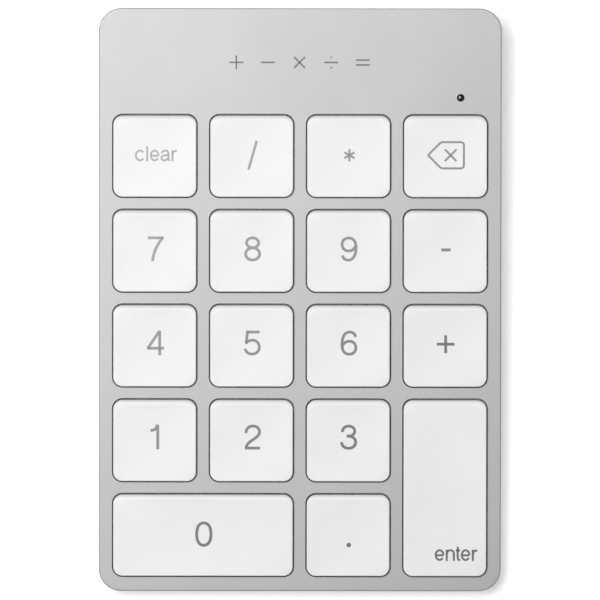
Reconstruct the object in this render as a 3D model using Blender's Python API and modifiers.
"""A slim numeric keypad: a wedge-shaped aluminium case with eighteen scissor keys.

Lengths are in metres, +Z is up, +Y points to the rear edge and the origin lies on the
surface that the feet stand on, under the middle of the case.

The keys, the sheets under them and the steel plate that carries them are parallel to the
sloping deck. They are placed in the deck's own frame, an empty whose X axis is the world's,
whose Y axis runs up the slope and whose Z axis is the deck's normal, with zero on the deck's
outer face. Heights in that frame are named LEVEL.
"""

import math

import bmesh
import bpy
from mathutils import Matrix

MM = 0.001

# Case: an aluminium shell with a plate that closes it from below.
CASE_WIDTH = 79.0 * MM
CASE_DEPTH = 114.4 * MM
CASE_CORNER = 4.4 * MM
RIM_ROUND = 0.28 * MM
FRONT_HEIGHT = 5.6 * MM
REAR_HEIGHT = 10.4 * MM
CASE_FLOOR = 0.8 * MM
WALL = 1.2 * MM
DECK_THICKNESS = 1.0 * MM
COVER_THICKNESS = 1.2 * MM
GAP = 0.3 * MM

# How far a joined body sinks into its neighbour, and how far a cutter runs past a face.
SINK = 0.2 * MM
PAST = 1.0 * MM

SLOPE = (REAR_HEIGHT - FRONT_HEIGHT) / CASE_DEPTH
TILT = math.atan(SLOPE)
MIDDLE_HEIGHT = (FRONT_HEIGHT + REAR_HEIGHT) / 2
REAR_FACE = CASE_DEPTH / 2
INSIDE_X = CASE_WIDTH / 2 - WALL
INSIDE_Y = CASE_DEPTH / 2 - WALL

# Keys: four columns and five rows of one pitch each; two caps span two places.
PITCH_X = 19.0 * MM
PITCH_Y = 18.6 * MM / math.cos(TILT)
FIRST_COLUMN = -28.5 * MM
FIRST_ROW = 28.2 * MM / math.cos(TILT)
CAP_WIDTH = 16.25 * MM
CAP_DEPTH = 15.95 * MM
CAP_CORNER = 1.8 * MM
CAP_WALL = 0.9 * MM
CAP_ROUND = 0.3 * MM
WINDOW_GAP = 0.22 * MM

# Ribs inside a cap, which its scissor snaps into.
RIB_ACROSS = (1.8 * MM, 3.4 * MM)
RIB_CLEAR = 0.9 * MM
RIB_THICK = 0.5 * MM
RIB_HEIGHT = 0.5 * MM

LEVEL_CAP_TOP = 1.0 * MM
LEVEL_CAP_CEILING = 0.4 * MM
LEVEL_CAP_SKIRT = -0.5 * MM
LEVEL_DOME_TOP = 0.1 * MM
LEVEL_LEVER_HIGH = 0.0 * MM
LEVEL_LEVER_LOW = -2.05 * MM
LEVEL_HOOK_TOP = -1.35 * MM
LEVEL_DOMES = (-2.52 * MM, -2.37 * MM)
LEVEL_MEMBRANE = (-2.80 * MM, -2.62 * MM)
LEVEL_PLATE = (-3.35 * MM, -2.95 * MM)

# Name, column, row, columns spanned, rows spanned. Rows count from the rear.
KEYS = (
    ("clear", 0, 0, 1, 1), ("divide", 1, 0, 1, 1), ("multiply", 2, 0, 1, 1), ("backspace", 3, 0, 1, 1),
    ("7", 0, 1, 1, 1), ("8", 1, 1, 1, 1), ("9", 2, 1, 1, 1), ("minus", 3, 1, 1, 1),
    ("4", 0, 2, 1, 1), ("5", 1, 2, 1, 1), ("6", 2, 2, 1, 1), ("plus", 3, 2, 1, 1),
    ("1", 0, 3, 1, 1), ("2", 1, 3, 1, 1), ("3", 2, 3, 1, 1), ("enter", 3, 3, 1, 2),
    ("0", 0, 4, 2, 1), ("point", 2, 4, 1, 1),
)

# Scissor: a wide lever and a narrow one, which cross on a pivot at the middle of their sides.
LEVER_REACH = 5.5 * MM
LEVER_THICK = 0.5 * MM
LEVER_BAR = 0.8 * MM
WIDE_LEVER = 12.0 * MM
NARROW_LEVER = 9.6 * MM
PIVOT_RADIUS = 0.22 * MM

HOOK_WIDTH = 2.0 * MM
HOOK_POST = 0.6 * MM
HOOK_LIP = 0.3 * MM
WIRE_HOOK_WIDTH = 1.1 * MM
WIRE_HOOK_REACH = 0.9 * MM

DOME_BASE = 3.6 * MM
DOME_CROWN = 1.9 * MM
DOME_WALL = 0.4 * MM

# Stabiliser: a bent wire that keeps a long cap level. Its run turns in the cap and the
# pins at the ends of its legs turn in hooks on the plate.
WIRE_RADIUS = 0.35 * MM
WIRE_SPREAD = 13.5 * MM
WIRE_LEG = 6.0 * MM
WIRE_PIN = 1.6 * MM
WIRE_OFFSET = 6.5 * MM
LEVEL_WIRE_RUN = -0.1 * MM
LEVEL_WIRE_PIN = -2.1 * MM
WIRE_ANGLE = math.asin((LEVEL_WIRE_RUN - LEVEL_WIRE_PIN) / WIRE_LEG)

# Sheets and plate under the keys.
SHEET_X = 37.2 * MM
SHEET_FRONT = -55.0 * MM
SHEET_REAR = 37.2 * MM
SHEET_HOLE = 1.2 * MM
SHEET_CLEAR = 0.2 * MM
TAIL_ACROSS = (23.5 * MM, 28.5 * MM)
TAIL_BEND = (36.0 * MM, 38.0 * MM)
TAIL_REAR = 43.0 * MM

# Screws: two in posts at the rear corners, two where four windows meet.
REAR_SCREW = (35.0 * MM, 52.7 * MM)
MIDDLE_SCREW = (19.0 * MM, -18.3 * MM)
POST_RADIUS = 1.7 * MM
PILOT_RADIUS = 1.0 * MM
SHANK_RADIUS = 0.7 * MM
HEAD_RADIUS = 1.4 * MM
HEAD_HEIGHT = 0.6 * MM
SCREW_LENGTH = 5.4 * MM
DRIVE_WIDTH = 0.3 * MM
DRIVE_REACH = 0.8 * MM
DRIVE_DEPTH = 0.3 * MM
PILOT_END = 0.75 * MM

FOOT_X = 30.0 * MM
FOOT_Y = 45.0 * MM
FOOT_RADIUS = 4.0 * MM
FOOT_HEIGHT = 1.0 * MM
FOOT_RECESS = 0.35 * MM

# Rear compartment: battery, board and what is soldered to it.
BOARD_LEVEL = (2.3 * MM, 3.1 * MM)
BOARD_RIGHT = 32.0 * MM
BOARD_STRIP = 49.0 * MM
BOARD_LEG = (22.5 * MM, 36.5 * MM)
BOARD_FRONT = 38.7 * MM
SOLDER = 0.15 * MM
PORT_HEIGHT = 5.3 * MM
USB_SIZE = (8.94 * MM, 3.2 * MM)
USB_DEPTH = 7.3 * MM
USB_WALL = 0.3 * MM
TONGUE_SIZE = (6.6 * MM, 0.7 * MM)
TONGUE_SETBACK = 1.4 * MM
SLIDER_X = -20.0 * MM
SLIDER_SIZE = (3.6 * MM, 1.7 * MM)
SLIDER_TRAVEL = 2.0 * MM
SLIDER_CORNER = 0.4 * MM
SLOT_CORNER = 0.5 * MM
FLANGE_SIZE = (9.2 * MM, 0.6 * MM, 3.2 * MM)
FORK_SIZE = (1.0 * MM, 1.6 * MM, 1.0 * MM)
SWITCH_SIZE = (7.0 * MM, 2.6 * MM)
SWITCH_SETBACK = 1.6 * MM
GROOVE_HALF = 0.8 * MM
BUTTON_X = 20.0 * MM
BUTTON_RADIUS = 1.5 * MM
BUTTON_COLLAR = (2.05 * MM, 0.7 * MM)
BUTTON_STEM = (0.7 * MM, 1.0 * MM)
PAIR_SWITCH_SIZE = (4.2 * MM, 2.4 * MM)
PAIR_SWITCH_SETBACK = 1.9 * MM
SWITCH_TOP = 1.6 * MM
FLUSH = 0.15 * MM
KNOB_SINK = 0.3 * MM
LED_PLACE = (31.47 * MM, 39.69 * MM)
LED_RADIUS = 0.72 * MM
LED_COLLAR = 0.6 * MM
LEVEL_LED = (-5.9 * MM, -0.05 * MM)
LEVEL_LED_COLLAR = -2.0 * MM
BATTERY_X = (-34.0 * MM, 20.0 * MM)
BATTERY_Y = (38.7 * MM, 48.3 * MM)
BATTERY_Z = (2.3 * MM, 6.3 * MM)
BATTERY_ROUND = 0.8 * MM


# ---------------------------------------------------------------- scene, materials

def clear_scene():
    """Remove every object, so that the script can be run again."""
    for existing in list(bpy.data.objects):
        bpy.data.objects.remove(existing)


def new_collection(name):
    """Return a collection that hangs from the scene."""
    collection = bpy.data.collections.new(name)
    bpy.context.scene.collection.children.link(collection)
    return collection


def finish(name, colour, roughness, metallic=0.0):
    """Return a Principled material."""
    material = bpy.data.materials.new(name)
    material.use_nodes = True
    shader = material.node_tree.nodes["Principled BSDF"]
    shader.inputs["Base Color"].default_value = (*colour, 1.0)
    shader.inputs["Roughness"].default_value = roughness
    shader.inputs["Metallic"].default_value = metallic
    return material


clear_scene()
PARTS = new_collection("numeric_keypad")
CUTTERS = new_collection("cutters")

ALUMINIUM = finish("anodised_aluminium", (0.62, 0.63, 0.64), 0.38, 1.0)
CAP_PLASTIC = finish("white_keycap_plastic", (0.86, 0.86, 0.86), 0.45)
COVER_PLASTIC = finish("grey_cover_plastic", (0.55, 0.56, 0.57), 0.5)
RUBBER = finish("grey_rubber", (0.12, 0.12, 0.12), 0.8)
STEEL = finish("zinc_plated_steel", (0.6, 0.6, 0.58), 0.35, 1.0)
LEVER_PLASTIC = finish("lever_acetal", (0.8, 0.8, 0.78), 0.5)
SILICONE = finish("dome_silicone", (0.7, 0.7, 0.72), 0.55)
POLYESTER = finish("membrane_polyester", (0.35, 0.38, 0.4), 0.3)
BOARD = finish("board_laminate", (0.03, 0.12, 0.06), 0.45)
BATTERY_FOIL = finish("battery_foil", (0.6, 0.6, 0.6), 0.35, 1.0)
BLACK_PLASTIC = finish("black_plastic", (0.02, 0.02, 0.02), 0.4)
LENS = finish("lens_acrylic", (0.01, 0.01, 0.01), 0.1)


# ---------------------------------------------------------------- shape helpers

def arc(centre, radius, start, end, steps):
    """Return points along an arc, with both ends, from angles in degrees."""
    points = []
    for step in range(steps + 1):
        angle = math.radians(start + (end - start) * step / steps)
        points.append((centre[0] + radius * math.cos(angle), centre[1] + radius * math.sin(angle)))
    return points


def rounded_rectangle(width, depth, radius, centre=(0.0, 0.0), steps=4):
    """Return the outline of a rectangle with round corners, counter-clockwise."""
    across = width / 2 - radius
    along = depth / 2 - radius
    outline = []
    for quarter, (side_x, side_y) in enumerate(((1, 1), (-1, 1), (-1, -1), (1, -1))):
        corner = (centre[0] + side_x * across, centre[1] + side_y * along)
        outline += arc(corner, radius, 90 * quarter, 90 * quarter + 90, steps)
    return outline


def rectangle(x_range, y_range):
    """Return the outline of a rectangle, counter-clockwise."""
    (left, right), (front, rear) = x_range, y_range
    return [(left, front), (right, front), (right, rear), (left, rear)]


def circle(centre, radius, steps=16):
    """Return the outline of a circle, counter-clockwise."""
    return arc(centre, radius, 0, 360, steps)[:-1]


def mesh_of(holder):
    """Return an object's evaluated mesh, welded, and remove the object."""
    depsgraph = bpy.context.evaluated_depsgraph_get()
    mesh = bpy.data.meshes.new_from_object(holder.evaluated_get(depsgraph))
    bpy.data.objects.remove(holder)
    work = bmesh.new()
    work.from_mesh(mesh)
    bmesh.ops.remove_doubles(work, verts=work.verts, dist=0.001 * MM)
    bmesh.ops.recalc_face_normals(work, faces=work.faces)
    work.to_mesh(mesh)
    work.free()
    return mesh


def slab(outlines, low, high, matrix=None):
    """Return the mesh of a flat plate between two heights.

    The first outline is its edge and the others are holes in it. The matrix, if there is
    one, then turns and moves the whole plate.
    """
    curve = bpy.data.curves.new("outline", "CURVE")
    curve.dimensions = "2D"
    curve.fill_mode = "BOTH"
    curve.extrude = (high - low) / 2
    for outline in outlines:
        spline = curve.splines.new("POLY")
        spline.points.add(len(outline) - 1)
        for point, (x, y) in zip(spline.points, outline):
            point.co = (x, y, 0.0, 1.0)
        spline.use_cyclic_u = True
    holder = bpy.data.objects.new("outline", curve)
    bpy.context.scene.collection.objects.link(holder)
    mesh = mesh_of(holder)
    mesh.transform(Matrix.Translation((0.0, 0.0, (low + high) / 2)))
    if matrix:
        mesh.transform(matrix)
    return mesh


def turned(radius_low, radius_high, low, high, centre=(0.0, 0.0), steps=16, matrix=None):
    """Return the mesh of an upright cylinder or cone between two heights."""
    work = bmesh.new()
    place = Matrix.Translation((centre[0], centre[1], (low + high) / 2))
    bmesh.ops.create_cone(work, cap_ends=True, segments=steps, radius1=radius_low,
                          radius2=radius_high, depth=high - low, matrix=place)
    mesh = bpy.data.meshes.new("turned")
    work.to_mesh(mesh)
    work.free()
    if matrix:
        mesh.transform(matrix)
    return mesh


def block(x_range, y_range, z_range):
    """Return the mesh of a box that fills three ranges."""
    ranges = (x_range, y_range, z_range)
    middle = [(low + high) / 2 for low, high in ranges]
    size = [high - low for low, high in ranges]
    work = bmesh.new()
    place = Matrix.Translation(middle) @ Matrix.Diagonal((*size, 1.0))
    bmesh.ops.create_cube(work, size=1.0, matrix=place)
    mesh = bpy.data.meshes.new("block")
    work.to_mesh(mesh)
    work.free()
    return mesh


def group(meshes):
    """Return one mesh that holds several separate bodies."""
    work = bmesh.new()
    for mesh in meshes:
        work.from_mesh(mesh)
    joined = bpy.data.meshes.new("group")
    work.to_mesh(joined)
    work.free()
    return joined


def at(x, y, z=0.0):
    """Return the matrix that moves a shape to a place."""
    return Matrix.Translation((x, y, z))


def moved(mesh, matrix):
    """Return a moved copy of a mesh."""
    copy = mesh.copy()
    copy.transform(matrix)
    return copy


def soften_top(mesh, width, segments):
    """Bevel the edges that run round a mesh's highest face."""
    work = bmesh.new()
    work.from_mesh(mesh)
    work.normal_update()
    bmesh.ops.dissolve_limit(work, angle_limit=math.radians(1), verts=work.verts, edges=work.edges)
    crown = max(work.faces, key=lambda face: (face.normal.z > 0.9, face.calc_center_median().z))
    bmesh.ops.bevel(work, geom=list(crown.edges), offset=width, segments=segments, profile=0.5,
                    affect="EDGES")
    work.to_mesh(mesh)
    work.free()
    return mesh


def part(name, mesh, material, frame=None, place=(0.0, 0.0, 0.0), turn=0.0):
    """Add one sub-part, placed in the world or in a parent frame."""
    piece = bpy.data.objects.new(name, mesh)
    PARTS.objects.link(piece)
    if not mesh.materials:
        mesh.materials.append(material)
    piece.parent = frame
    piece.location = place
    piece.rotation_euler.z = turn
    return piece


def carve(piece, mesh, operation):
    """Cut a mesh out of a piece, or join it on, by a Boolean modifier."""
    tool = bpy.data.objects.new(f"{piece.name}_{operation.lower()}", mesh)
    CUTTERS.objects.link(tool)
    tool.hide_render = True
    tool.display_type = "WIRE"
    tool.parent = piece.parent
    tool.location = piece.location
    tool.rotation_euler = piece.rotation_euler
    modifier = piece.modifiers.new(operation.title(), "BOOLEAN")
    modifier.operation = operation
    modifier.object = tool


def shaped(mesh, added=(), removed=()):
    """Return the mesh with other bodies joined on and cut away, for sharing by copies."""
    holder = bpy.data.objects.new("shaped", mesh)
    bpy.context.scene.collection.objects.link(holder)
    tools = []
    for operation, bodies in (("UNION", added), ("DIFFERENCE", removed)):
        for body in bodies:
            tool = bpy.data.objects.new("tool", body)
            bpy.context.scene.collection.objects.link(tool)
            tools.append(tool)
            modifier = holder.modifiers.new(operation.title(), "BOOLEAN")
            modifier.operation = operation
            modifier.object = tool
    result = mesh_of(holder)
    for tool in tools:
        bpy.data.objects.remove(tool)
    return result


def upright_profile(outline, from_x, to_x):
    """Return a mesh whose outline stands in the YZ plane and runs along X."""
    stand = Matrix(((0, 0, 1, 0), (1, 0, 0, 0), (0, 1, 0, 0), (0, 0, 0, 1)))
    return slab([outline], from_x, to_x, stand)


def through_wall(outlines, from_y, to_y):
    """Return a mesh whose outlines stand in the XZ plane and run along Y."""
    stand = Matrix(((1, 0, 0, 0), (0, 0, -1, 0), (0, 1, 0, 0), (0, 0, 0, 1)))
    return slab(outlines, -to_y, -from_y, stand)


def key_place(column, row, wide, tall):
    """Return a key's centre in the deck frame."""
    x = FIRST_COLUMN + PITCH_X * (column + (wide - 1) / 2)
    y = FIRST_ROW - PITCH_Y * (row + (tall - 1) / 2)
    return x, y


def key_outline(wide, tall, margin=0.0, centre=(0.0, 0.0), steps=3):
    """Return a cap's outline, grown or shrunk by a margin on every side."""
    width = CAP_WIDTH + (wide - 1) * PITCH_X + 2 * margin
    depth = CAP_DEPTH + (tall - 1) * PITCH_Y + 2 * margin
    return rounded_rectangle(width, depth, CAP_CORNER + margin, centre, steps)


# ---------------------------------------------------------------- deck frame

deck_frame = bpy.data.objects.new("deck_frame", None)
PARTS.objects.link(deck_frame)
deck_frame.location = (0.0, 0.0, MIDDLE_HEIGHT)
deck_frame.rotation_euler.x = TILT
DECK = Matrix.Translation((0.0, 0.0, MIDDLE_HEIGHT)) @ Matrix.Rotation(TILT, 4, "X")


def wedge(outline, low, drop):
    """Return a prism whose top follows the deck, the given drop below its face."""
    mesh = slab([outline], low, REAR_HEIGHT)
    for vertex in mesh.vertices:
        if vertex.co.z > (low + REAR_HEIGHT) / 2:
            vertex.co.z = MIDDLE_HEIGHT + vertex.co.y * SLOPE - drop / math.cos(TILT)
    return mesh


# ---------------------------------------------------------------- case

def screw_places():
    """Return each screw's name and place."""
    places = []
    for side, sign in (("left", -1), ("right", 1)):
        places.append((f"cover_screw_rear_{side}", (sign * REAR_SCREW[0], REAR_SCREW[1])))
        places.append((f"cover_screw_middle_{side}", (sign * MIDDLE_SCREW[0], MIDDLE_SCREW[1])))
    return places


def make_top_case():
    """Make the aluminium shell, with its windows, screw posts and rear openings."""
    outside = rounded_rectangle(CASE_WIDTH, CASE_DEPTH, CASE_CORNER, steps=6)
    inside = rounded_rectangle(2 * INSIDE_X, 2 * INSIDE_Y, CASE_CORNER - WALL, steps=5)
    shell = soften_top(wedge(outside, CASE_FLOOR, 0.0), RIM_ROUND, 2)
    case = part("top_case", shell, ALUMINIUM)
    carve(case, wedge(inside, CASE_FLOOR - WALL, DECK_THICKNESS), "DIFFERENCE")

    posts = []
    pilots = []
    for name, (x, y) in screw_places():
        deck = MIDDLE_HEIGHT + y * SLOPE
        rear = "rear" in name
        foot = CASE_FLOOR + COVER_THICKNESS + GAP if rear else deck + LEVEL_DOMES[1] + SINK
        posts.append(turned(POST_RADIUS, POST_RADIUS, foot, deck - DECK_THICKNESS / 2, (x, y)))
        pilots.append(turned(PILOT_RADIUS, PILOT_RADIUS, foot - PAST, deck - PILOT_END, (x, y), 10))
    carve(case, group(posts), "UNION")

    openings = []
    for name, column, row, wide, tall in KEYS:
        window = key_outline(wide, tall, WINDOW_GAP, key_place(column, row, wide, tall))
        openings.append(slab([window], -DECK_THICKNESS - PAST, 2 * PAST, DECK))
    light = LED_RADIUS + GAP / 2
    openings.append(turned(light, light, -DECK_THICKNESS - PAST, 2 * PAST,
                           (LED_PLACE[0], LED_PLACE[1] / math.cos(TILT)), matrix=DECK))
    wall = (REAR_FACE - 1.5 * WALL, REAR_FACE + WALL)
    usb = rounded_rectangle(USB_SIZE[0] + 2 * GAP, USB_SIZE[1] + 2 * GAP, USB_SIZE[1] / 2, (0.0, PORT_HEIGHT))
    slot = rounded_rectangle(SLIDER_SIZE[0] + SLIDER_TRAVEL + 2 * GAP, SLIDER_SIZE[1] + 2 * GAP,
                             SLOT_CORNER, (SLIDER_X, PORT_HEIGHT), 2)
    hole = circle((BUTTON_X, PORT_HEIGHT), BUTTON_RADIUS + GAP)
    openings += [through_wall([outline], *wall) for outline in (usb, slot, hole)]
    carve(case, group(openings + pilots), "DIFFERENCE")


def make_bottom_cover():
    """Make the plate that closes the case, with its screw holes and recesses for the feet."""
    edge = WALL + GAP
    outline = rounded_rectangle(CASE_WIDTH - 2 * edge, CASE_DEPTH - 2 * edge, CASE_CORNER - edge, steps=5)
    cover = part("bottom_cover", slab([outline], CASE_FLOOR, CASE_FLOOR + COVER_THICKNESS), COVER_PLASTIC)
    cuts = []
    for x in (-FOOT_X, FOOT_X):
        for y in (-FOOT_Y, FOOT_Y):
            recess = FOOT_RADIUS + GAP
            cuts.append(turned(recess, recess, CASE_FLOOR - PAST, CASE_FLOOR + FOOT_RECESS, (x, y), 20))
    carve(cover, group(cuts), "DIFFERENCE")
    seats = []
    holes = []
    for name, place in screw_places():
        seat = HEAD_RADIUS + GAP
        seats.append(turned(seat, seat, CASE_FLOOR - PAST, CASE_FLOOR + HEAD_HEIGHT + GAP, place, 12))
        holes.append(turned(PILOT_RADIUS, PILOT_RADIUS, CASE_FLOOR - PAST,
                            CASE_FLOOR + COVER_THICKNESS + PAST, place, 10))
    carve(cover, group(seats), "DIFFERENCE")
    carve(cover, group(holes), "DIFFERENCE")


def make_screws():
    """Make the cross-head screws that hold the cover to the posts of the shell."""
    low = CASE_FLOOR + GAP / 2
    head = turned(HEAD_RADIUS, HEAD_RADIUS, low, low + HEAD_HEIGHT, steps=12)
    shank = turned(SHANK_RADIUS, SHANK_RADIUS, low + HEAD_HEIGHT / 2, low + SCREW_LENGTH, steps=10)
    narrow = (-DRIVE_WIDTH / 2, DRIVE_WIDTH / 2)
    long = (-DRIVE_REACH, DRIVE_REACH)
    depth = (low - PAST, low + DRIVE_DEPTH)
    slots = [block(narrow, long, depth), block(long, narrow, depth)]
    screw = shaped(head, [shank], slots)
    for name, (x, y) in screw_places():
        part(name, screw, STEEL, place=(x, y, 0.0))


def make_feet():
    """Make the four rubber feet, which stand proud of the cover."""
    foot = slab([circle((0.0, 0.0), FOOT_RADIUS, 20)], 0.0, FOOT_HEIGHT)
    for depth_name, y in (("front", -FOOT_Y), ("rear", FOOT_Y)):
        for side, x in (("left", -FOOT_X), ("right", FOOT_X)):
            part(f"foot_{depth_name}_{side}", foot, RUBBER, place=(x, y, 0.0))


# ---------------------------------------------------------------- keys

def scissor_turn(wide):
    """Return a scissor's turn: under a wide cap its levers lie across."""
    return math.pi / 2 if wide > 1 else 0.0


def cap_mesh(wide, tall):
    """Return a hollow keycap, with the two ribs that its scissor snaps into."""
    cap = soften_top(slab([key_outline(wide, tall)], LEVEL_CAP_SKIRT, LEVEL_CAP_TOP), CAP_ROUND, 1)
    hollow = slab([key_outline(wide, tall, -CAP_WALL)], LEVEL_CAP_SKIRT - PAST, LEVEL_CAP_CEILING)
    cap = shaped(cap, removed=[hollow])
    near = LEVER_REACH - LEVER_BAR / 2 - RIB_CLEAR
    height = (LEVEL_CAP_CEILING - RIB_HEIGHT, LEVEL_CAP_CEILING + SINK)
    turn = Matrix.Rotation(scissor_turn(wide), 4, "Z")
    ribs = []
    for side in (-1, 1):
        across = sorted(side * edge for edge in RIB_ACROSS)
        along = sorted((side * near, side * (near + RIB_THICK)))
        ribs.append(moved(block(across, along, height), turn))
    return shaped(cap, [group(ribs)])


def lever(width, lean):
    """Return one lever of a scissor: a rectangular ring that leans forwards or back."""
    rise = (LEVEL_LEVER_HIGH - LEVEL_LEVER_LOW) / 2
    angle = math.atan(rise / LEVER_REACH) * lean
    half = math.hypot(rise, LEVER_REACH) + LEVER_BAR / 2
    outer = rectangle((-width / 2, width / 2), (-half, half))
    inner = rectangle((LEVER_BAR - width / 2, width / 2 - LEVER_BAR), (LEVER_BAR - half, half - LEVER_BAR))
    middle = (LEVEL_LEVER_HIGH + LEVEL_LEVER_LOW) / 2
    place = at(0.0, 0.0, middle) @ Matrix.Rotation(angle, 4, "X")
    return slab([outer, inner], -LEVER_THICK / 2, LEVER_THICK / 2, place)


def scissor_mesh():
    """Return two levers joined by the pivot pins on both sides."""
    middle = (LEVEL_LEVER_HIGH + LEVEL_LEVER_LOW) / 2
    pins = []
    for side in (-1, 1):
        turn = at(0.0, 0.0, middle) @ Matrix.Rotation(side * math.pi / 2, 4, "Y")
        reach = (NARROW_LEVER / 2 - LEVER_BAR / 2, WIDE_LEVER / 2 - LEVER_BAR / 2)
        pins.append(turned(PIVOT_RADIUS, PIVOT_RADIUS, *reach, steps=8, matrix=turn))
    return shaped(lever(WIDE_LEVER, 1), [lever(NARROW_LEVER, -1), group(pins)])


def make_keys():
    """Make every keycap and the scissor under it."""
    scissor = scissor_mesh()
    caps = {}
    for name, column, row, wide, tall in KEYS:
        if (wide, tall) not in caps:
            caps[wide, tall] = cap_mesh(wide, tall)
        x, y = key_place(column, row, wide, tall)
        part(f"keycap_{name}", caps[wide, tall], CAP_PLASTIC, deck_frame, (x, y, 0.0))
        part(f"scissor_{name}", scissor, LEVER_PLASTIC, deck_frame, (x, y, 0.0), scissor_turn(wide))


# ---------------------------------------------------------------- stabilisers

def wire_points():
    """Return a stabiliser's route: pin, leg, run, leg, pin, with its run on the X axis."""
    drop = WIRE_LEG * math.sin(WIRE_ANGLE)
    reach = WIRE_LEG * math.cos(WIRE_ANGLE)
    half = [(WIRE_SPREAD + WIRE_PIN, -reach, -drop), (WIRE_SPREAD, -reach, -drop), (WIRE_SPREAD, 0.0, 0.0)]
    return half + [(-x, y, z) for x, y, z in reversed(half)]


def make_stabiliser(name, place, turn):
    """Make one bent steel wire, with its run clipped under the cap."""
    curve = bpy.data.curves.new(name, "CURVE")
    curve.dimensions = "3D"
    curve.bevel_depth = WIRE_RADIUS
    curve.bevel_resolution = 1
    curve.use_fill_caps = True
    route = wire_points()
    spline = curve.splines.new("POLY")
    spline.points.add(len(route) - 1)
    for point, place_of_point in zip(spline.points, route):
        point.co = (*place_of_point, 1.0)
    holder = bpy.data.objects.new(name, curve)
    bpy.context.scene.collection.objects.link(holder)
    part(name, mesh_of(holder), STEEL, deck_frame, (*place, LEVEL_WIRE_RUN), turn)


def stabilisers():
    """Return each stabiliser's name, the middle of its run and its turn."""
    spans = {name: key_place(*rest) for name, *rest in KEYS}
    x, y = spans["0"]
    yield "stabiliser_bar_0", (x, y + WIRE_OFFSET), 0.0
    x, y = spans["enter"]
    yield "stabiliser_bar_enter", (x + WIRE_OFFSET, y), -math.pi / 2


# ---------------------------------------------------------------- sheets and plate

def hook_outline(tip, post, low, top):
    """Return a hook in the YZ plane: a post that rises from the plate, with a lip at its top."""
    return [(post, low), (post + HOOK_POST, low), (post + HOOK_POST, top), (tip, top),
            (tip, top - HOOK_LIP), (post, top - HOOK_LIP)]


def lever_hooks():
    """Return the hooks of one scissor, in front of its low bars and behind them."""
    post = LEVER_REACH + LEVER_BAR / 2 + GAP
    outline = hook_outline(LEVER_REACH - LEVER_BAR / 2, post, LEVEL_PLATE[0] + SINK, LEVEL_HOOK_TOP)
    hook = upright_profile(outline, -HOOK_WIDTH / 2, HOOK_WIDTH / 2)
    return [hook, moved(hook, Matrix.Rotation(math.pi, 4, "Z"))]


def wire_hooks():
    """Return the two hooks that hold one stabiliser's pins."""
    reach = -WIRE_LEG * math.cos(WIRE_ANGLE)
    post = reach + WIRE_RADIUS + 0.2 * MM
    outline = hook_outline(reach - WIRE_HOOK_REACH, post, LEVEL_PLATE[0] + SINK, LEVEL_HOOK_TOP + 0.1 * MM)
    near = WIRE_SPREAD + WIRE_RADIUS + 0.25 * MM
    hook = upright_profile(outline, near, near + WIRE_HOOK_WIDTH)
    return [hook, moved(hook, at(-2 * near - WIRE_HOOK_WIDTH, 0.0))]


def sheet_openings():
    """Return one mesh of what the two sheets leave free: screw holes and hook openings."""
    openings = [circle((sign * MIDDLE_SCREW[0], MIDDLE_SCREW[1]), SHEET_HOLE, 10) for sign in (-1, 1)]
    near = LEVER_REACH + LEVER_BAR / 2 + GAP - SHEET_CLEAR
    far = near + HOOK_POST + 2 * SHEET_CLEAR
    half = HOOK_WIDTH / 2 + SHEET_CLEAR
    for name, column, row, wide, tall in KEYS:
        x, y = key_place(column, row, wide, tall)
        for side in (-1, 1):
            along = sorted((side * near, side * far))
            if wide > 1:
                openings.append(rectangle((x + along[0], x + along[1]), (y - half, y + half)))
            else:
                openings.append(rectangle((x - half, x + half), (y + along[0], y + along[1])))
    reach = -WIRE_LEG * math.cos(WIRE_ANGLE)
    slot_near = WIRE_SPREAD - WIRE_RADIUS - SHEET_CLEAR
    for name, (x, y), turn in stabilisers():
        for side in (-1, 1):
            across = sorted((side * slot_near, side * (slot_near + 2.6 * MM)))
            along = (reach - 1.2 * MM, reach + 1.4 * MM)
            if turn:
                openings.append(rectangle((x + along[0], x + along[1]), (y + across[0], y + across[1])))
            else:
                openings.append(rectangle((x + across[0], x + across[1]), (y + along[0], y + along[1])))
    return group([slab([opening], LEVEL_PLATE[0], LEVEL_LEVER_LOW) for opening in openings])


def make_dome_sheet():
    """Make the silicone sheet with a hollow dome under each key."""
    edge = rectangle((-SHEET_X, SHEET_X), (SHEET_FRONT, SHEET_REAR))
    sheet = part("dome_sheet", slab([edge], *LEVEL_DOMES), SILICONE, deck_frame)
    outer = turned(DOME_BASE, DOME_CROWN, LEVEL_DOMES[0] + 0.05 * MM, LEVEL_DOME_TOP, steps=10)
    inner = turned(DOME_BASE - DOME_WALL, DOME_CROWN - DOME_WALL, LEVEL_DOMES[0] - 0.1 * MM,
                   LEVEL_DOME_TOP - DOME_WALL, steps=10)
    places = [at(*key_place(column, row, wide, tall)) for name, column, row, wide, tall in KEYS]
    carve(sheet, group([moved(outer, place) for place in places]), "UNION")
    carve(sheet, group([moved(inner, place) for place in places] + [sheet_openings()]), "DIFFERENCE")


def make_membrane():
    """Make the switch membrane, with the tail that bends down to the board."""
    edge = rectangle((-SHEET_X, SHEET_X), (SHEET_FRONT, SHEET_REAR))
    low, high = LEVEL_MEMBRANE
    start, bend = TAIL_BEND
    board = BOARD_LEVEL[1] + 0.2 * MM - MIDDLE_HEIGHT - 40 * MM * SLOPE
    end = board - 0.1 * MM
    thick = high - low
    tail = [(start, low), (bend - 0.1 * MM, low), (bend + 0.6 * MM, board), (TAIL_REAR, end),
            (TAIL_REAR, end + thick), (bend + 0.8 * MM, board + thick), (bend + 0.1 * MM, high),
            (start, high)]
    membrane = part("switch_membrane", slab([edge], low, high), POLYESTER, deck_frame)
    carve(membrane, upright_profile(tail, *TAIL_ACROSS), "UNION")
    carve(membrane, sheet_openings(), "DIFFERENCE")


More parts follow.
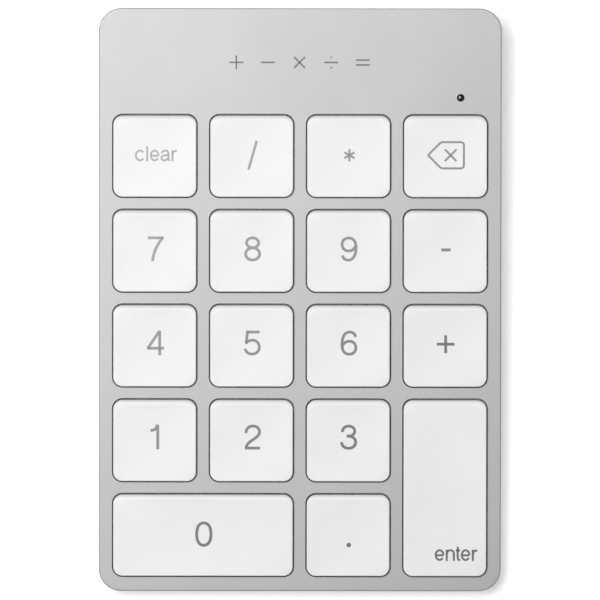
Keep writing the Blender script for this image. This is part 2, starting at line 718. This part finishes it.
def make_support_plate():
    """Make the steel plate with the hooks that hold the scissors and stabilisers."""
    edge = rectangle((-SHEET_X, SHEET_X), (SHEET_FRONT, SHEET_REAR))
    holes = [circle((sign * MIDDLE_SCREW[0], MIDDLE_SCREW[1]), SHEET_HOLE, 10) for sign in (-1, 1)]
    plate = part("support_plate", slab([edge] + holes, *LEVEL_PLATE), STEEL, deck_frame)
    hooks = []
    for name, column, row, wide, tall in KEYS:
        turn = Matrix.Rotation(scissor_turn(wide), 4, "Z")
        place = at(*key_place(column, row, wide, tall))
        hooks += [moved(hook, place @ turn) for hook in lever_hooks()]
    for name, place, turn in stabilisers():
        stand = at(*place) @ Matrix.Rotation(turn, 4, "Z")
        hooks += [moved(hook, stand) for hook in wire_hooks()]
    carve(plate, group(hooks), "UNION")


# ---------------------------------------------------------------- rear compartment

def make_electronics():
    """Make the board, the battery and the parts soldered to the board."""
    rear = INSIDE_Y - GAP
    left_leg, right_leg = BOARD_LEG
    outline = [(-BOARD_RIGHT, BOARD_STRIP), (left_leg, BOARD_STRIP), (left_leg, BOARD_FRONT),
               (right_leg, BOARD_FRONT), (right_leg, BOARD_STRIP), (BOARD_RIGHT, BOARD_STRIP),
               (BOARD_RIGHT, rear), (-BOARD_RIGHT, rear)]
    part("main_board", slab([outline], *BOARD_LEVEL), BOARD)

    cell = block(BATTERY_X, BATTERY_Y, BATTERY_Z)
    battery = part("battery_cell", cell, BATTERY_FOIL)
    bevel = battery.modifiers.new("Rounded pouch", "BEVEL")
    bevel.width = BATTERY_ROUND
    bevel.segments = 2

    shell = rounded_rectangle(*USB_SIZE, USB_SIZE[1] / 2 - 0.05 * MM, (0.0, PORT_HEIGHT))
    width, height = USB_SIZE[0] - 2 * USB_WALL, USB_SIZE[1] - 2 * USB_WALL
    mouth = rounded_rectangle(width, height, height / 2 - 0.05 * MM, (0.0, PORT_HEIGHT))
    back = REAR_FACE - FLUSH - USB_DEPTH
    socket = part("usb_socket", through_wall([shell], back, REAR_FACE - FLUSH), STEEL)
    carve(socket, through_wall([mouth], back + USB_WALL, REAR_FACE + PAST), "DIFFERENCE")
    across, thick = TONGUE_SIZE[0] / 2, TONGUE_SIZE[1] / 2
    part("usb_tongue", block((-across, across), (back + 2 * USB_WALL, REAR_FACE - TONGUE_SETBACK),
                             (PORT_HEIGHT - thick, PORT_HEIGHT + thick)), BLACK_PLASTIC)

    body = (BOARD_LEVEL[1] + SOLDER, PORT_HEIGHT + SWITCH_TOP)
    half, depth = SWITCH_SIZE[0] / 2, SWITCH_SIZE[1]
    face = INSIDE_Y - SWITCH_SETBACK
    power = part("power_switch_body", block((SLIDER_X - half, SLIDER_X + half), (face - depth, face), body),
                 BLACK_PLASTIC)
    groove = SLIDER_TRAVEL / 2 + GROOVE_HALF
    carve(power, block((SLIDER_X - groove, SLIDER_X + groove), (face - PAST, face + PAST),
                       (PORT_HEIGHT - GROOVE_HALF, PORT_HEIGHT + GROOVE_HALF)), "DIFFERENCE")
    half, depth = PAIR_SWITCH_SIZE[0] / 2, PAIR_SWITCH_SIZE[1]
    face = INSIDE_Y - PAIR_SWITCH_SETBACK
    part("pair_switch_body", block((BUTTON_X - half, BUTTON_X + half), (face - depth, face), body),
         BLACK_PLASTIC)


def make_rear_controls():
    """Make the power slider and the pairing button, which reach through the rear wall."""
    def block_at(size, rear):
        """Return a box about the slider's rest place that ends at a face."""
        half, height = size[0] / 2, size[2] / 2
        return block((x - half, x + half), (rear - size[1], rear),
                     (PORT_HEIGHT - height, PORT_HEIGHT + height))

    def pin(radius, length, rear, steps=16):
        """Return a round body about the button's axis that ends at a face."""
        return through_wall([circle((BUTTON_X, PORT_HEIGHT), radius, steps)], rear - length, rear)

    x = SLIDER_X - SLIDER_TRAVEL / 2
    inner = INSIDE_Y - GAP
    outer = REAR_FACE - FLUSH
    start = inner - KNOB_SINK
    knob = through_wall([rounded_rectangle(*SLIDER_SIZE, SLIDER_CORNER, (x, PORT_HEIGHT), 2)], start, outer)
    part("power_slider", shaped(knob, [block_at(FLANGE_SIZE, inner), block_at(FORK_SIZE, start)]),
         BLACK_PLASTIC)

    button = pin(BUTTON_RADIUS, outer - start, outer)
    collar = pin(*BUTTON_COLLAR, inner)
    stem = pin(BUTTON_STEM[0], BUTTON_STEM[1] - KNOB_SINK, start, 10)
    part("pair_button", shaped(button, [collar, stem]), BLACK_PLASTIC)


def make_status_light():
    """Make the light pipe that shows in the deck's small round hole."""
    place = (LED_PLACE[0], LED_PLACE[1] / math.cos(TILT), 0.0)
    pipe = turned(LED_RADIUS, LED_RADIUS, *LEVEL_LED)
    radius = LED_RADIUS + LED_COLLAR
    collar = turned(radius, radius, LEVEL_LED_COLLAR, -DECK_THICKNESS - GAP / 2)
    part("status_led", shaped(pipe, [collar]), LENS, deck_frame, place)


make_top_case()
make_bottom_cover()
make_screws()
make_feet()
make_keys()
make_dome_sheet()
make_membrane()
make_support_plate()
for bar_name, bar_place, bar_turn in stabilisers():
    make_stabiliser(bar_name, bar_place, bar_turn)
make_electronics()
make_rear_controls()
make_status_light()
for piece in PARTS.objects:
    if piece.type == "MESH":
        piece.data.shade_smooth()
        piece.data.set_sharp_from_angle(angle=math.radians(35))
